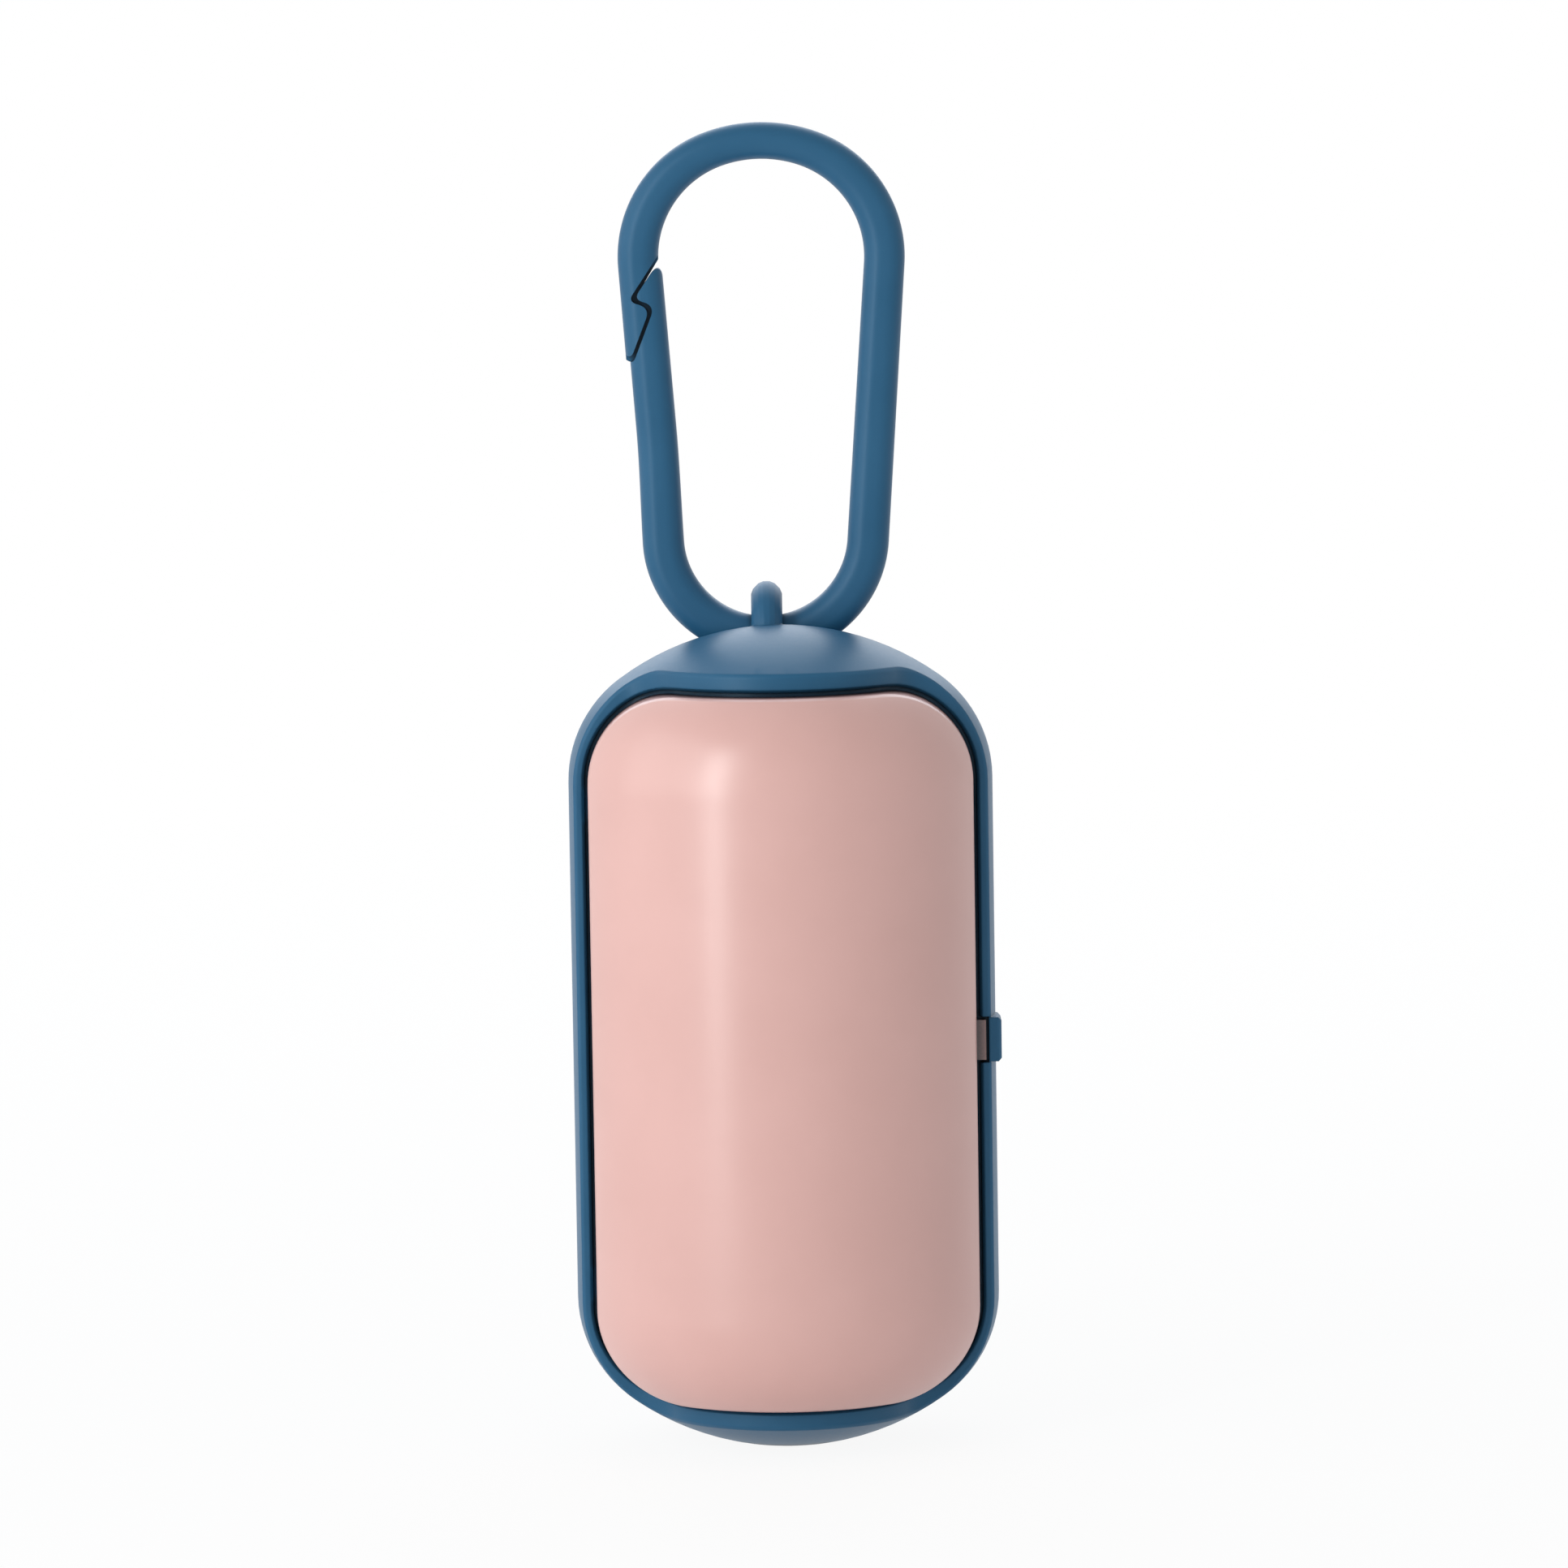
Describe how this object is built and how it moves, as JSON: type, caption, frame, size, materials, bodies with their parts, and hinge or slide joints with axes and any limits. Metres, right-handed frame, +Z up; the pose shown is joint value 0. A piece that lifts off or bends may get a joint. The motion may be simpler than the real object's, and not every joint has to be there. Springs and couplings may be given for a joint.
{
  "type": "dog poop bag dispenser",
  "caption": "Capsule-shaped waste bag holder with a hinged front door, a bag slot in its back and a snap hook through the lug on its crown.",
  "frame": {"origin": "the hang point: the middle of the inside of the hook's crown, where the hook hangs on a ring or strap", "axes": "+Z up along the hook and the case, -Y towards the door, +X to the latch side"},
  "size_m": [0.0426, 0.0417, 0.1315],
  "materials": {
    "hook_plastic": "satin moulded, slate blue",
    "shell_plastic": "satin moulded, slate blue",
    "cover_plastic": "satin moulded, dusty pink",
    "pin_steel": "bright drawn wire",
    "bag_film": "thin rolled film, charcoal",
    "core_board": "plain grey-brown cardboard"
  },
  "bodies": {
    "hook": {"carabiner_frame": "hook_plastic"},
    "gate": {"carabiner_gate": "hook_plastic"},
    "case": {"rear_shell": "shell_plastic"},
    "door": {"front_cover": "cover_plastic", "hinge_pin_upper": "pin_steel", "hinge_pin_lower": "pin_steel"},
    "roll": {"bag_roll": "bag_film", "roll_core": "core_board"}
  },
  "joints": [
    {"name": "gate_flex", "type": "hinge", "parent": "hook", "child": "gate", "pos_m": [-0.0105, 0, -0.0335], "axis": [0, 1, 0], "range_deg": [0, 18], "stiffness_Nm_per_rad": 0.06},
    {"name": "case_swing", "type": "hinge", "parent": "hook", "child": "case", "pos_m": [0, 0, -0.04768], "axis": [1, 0, 0], "range_deg": [-20, 90]},
    {"name": "door_hinge", "type": "hinge", "parent": "case", "child": "door", "pos_m": [-0.0161, -0.0127, -0.08718], "axis": [0, 0, -1], "range_deg": [0, 90]},
    {"name": "roll_spin", "type": "hinge", "parent": "case", "child": "roll", "pos_m": [0.0011, -0.006, -0.08718], "axis": [0, 0, 1], "continuous": true}
  ]
}
